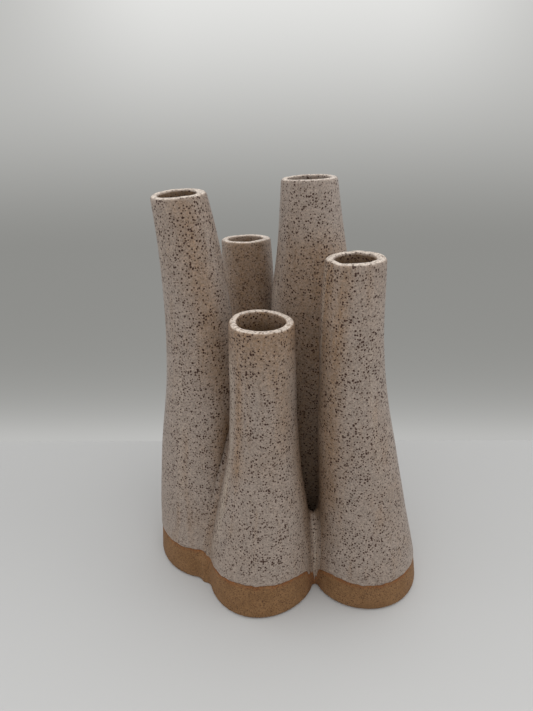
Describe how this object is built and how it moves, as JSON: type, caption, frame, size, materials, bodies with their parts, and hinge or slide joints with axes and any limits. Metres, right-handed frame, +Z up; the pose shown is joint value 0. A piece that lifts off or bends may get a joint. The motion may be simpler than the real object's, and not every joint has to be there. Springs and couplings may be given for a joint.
{
  "type": "tulip vase",
  "caption": "Hand-made stoneware tulip vase: narrow-necked bottles of different heights, joined in a ring at their bellies, in a speckled satin glaze over a bare clay foot.",
  "frame": {"origin": "on the table, under the middle of the vase's box", "axes": "+Z up, -Y towards the shortest bottle, which stands in front, +X towards the bottle on its right"},
  "size_m": [0.1725, 0.1602, 0.2447],
  "materials": {
    "speckled_glaze": "satin off-white glaze with dark iron specks, browner where it is thin",
    "bare_stoneware": "unglazed toasted tan stoneware with fine dark specks"
  },
  "bodies": {
    "root": {"front_bottle": "speckled_glaze", "right_bottle": "speckled_glaze", "left_bottle": "speckled_glaze", "rear_tall_bottle": "speckled_glaze", "rear_short_bottle": "speckled_glaze", "front_right_joint": "bare_stoneware", "front_left_joint": "bare_stoneware", "right_rear_joint": "bare_stoneware", "left_rear_joint": "bare_stoneware", "rear_rear_joint": "bare_stoneware"}
  },
  "joints": []
}
